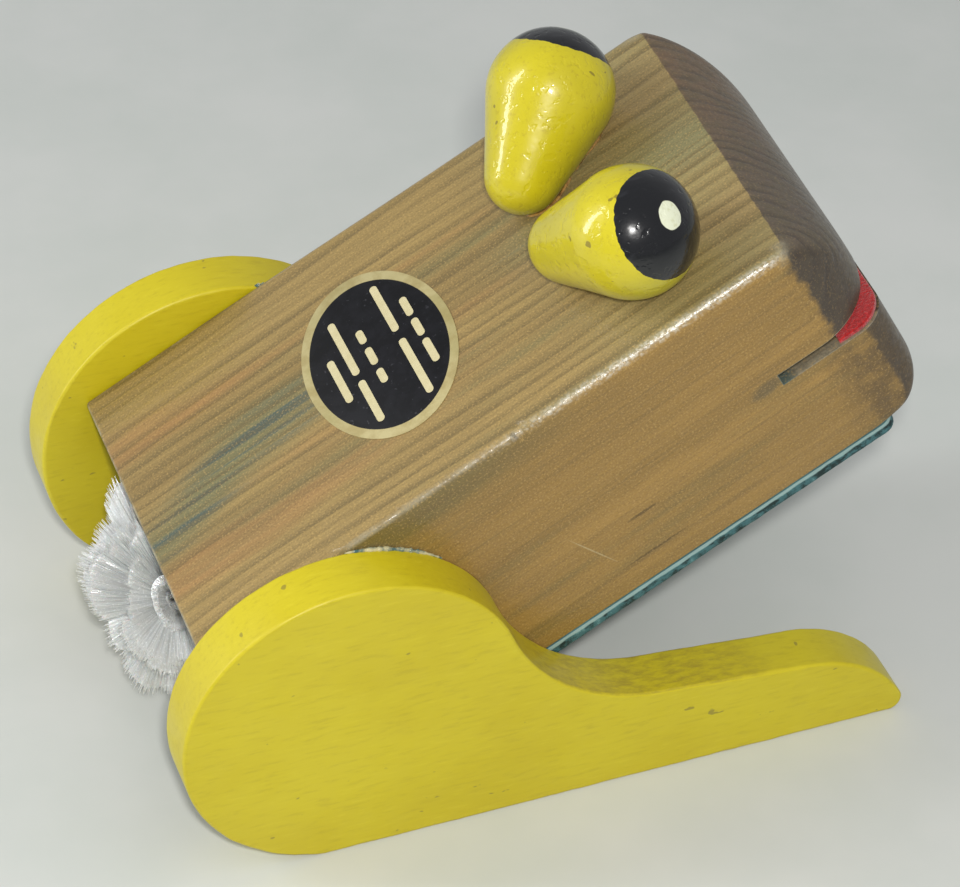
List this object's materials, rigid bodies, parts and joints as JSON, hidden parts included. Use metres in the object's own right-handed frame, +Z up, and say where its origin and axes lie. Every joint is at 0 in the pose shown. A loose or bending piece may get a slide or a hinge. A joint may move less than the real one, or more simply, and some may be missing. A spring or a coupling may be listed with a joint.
{
  "type": "wooden frog money bank",
  "caption": "Wooden frog coin bank: a sloping block with a sawn mouth as coin slot, board legs, turned teardrop eyes, felt tongue, yarn tail and a stopper underneath.",
  "frame": {"origin": "centre of the bounding box at floor level, between the two feet", "axes": "+X the frog's forward, +Y its left, +Z up"},
  "size_m": [0.1694, 0.104, 0.1376],
  "materials": {
    "stained_wood": "stained and varnished, satin",
    "teal_wood": "thin teal stain, satin",
    "stopper_rubber": "matt black",
    "red_felt": "felt",
    "label_paper": "printed label, semi-gloss",
    "white_yarn": "shiny synthetic yarn",
    "tack_metal": "browned",
    "screw_brass": "brushed",
    "raw_wood": "plain beech",
    "eye_paint": "gloss paint on turned wood, black at the large end",
    "leg_paint": "yellow satin paint over wood"
  },
  "bodies": {
    "bank": {"body_block": "stained_wood", "bottom_plate": "teal_wood", "plate_screw_1": "screw_brass", "plate_screw_2": "screw_brass", "plate_screw_3": "screw_brass", "plate_screw_4": "screw_brass", "tongue": "red_felt", "label": "label_paper", "right_eye": "eye_paint", "right_eye_pin": "raw_wood", "left_eye": "eye_paint", "left_eye_pin": "raw_wood", "tail_tuft": "white_yarn", "tail_tack": "tack_metal", "right_leg": "leg_paint", "right_leg_dowel_1": "raw_wood", "right_leg_dowel_2": "raw_wood", "left_leg": "leg_paint", "left_leg_dowel_1": "raw_wood", "left_leg_dowel_2": "raw_wood"},
    "stopper": {"coin_plug": "stopper_rubber"}
  },
  "joints": [
    {"name": "stopper_pull", "type": "slide", "parent": "bank", "child": "stopper", "axis": [0.4955, 0, -0.8686], "range_m": [0, 0.02]}
  ]
}
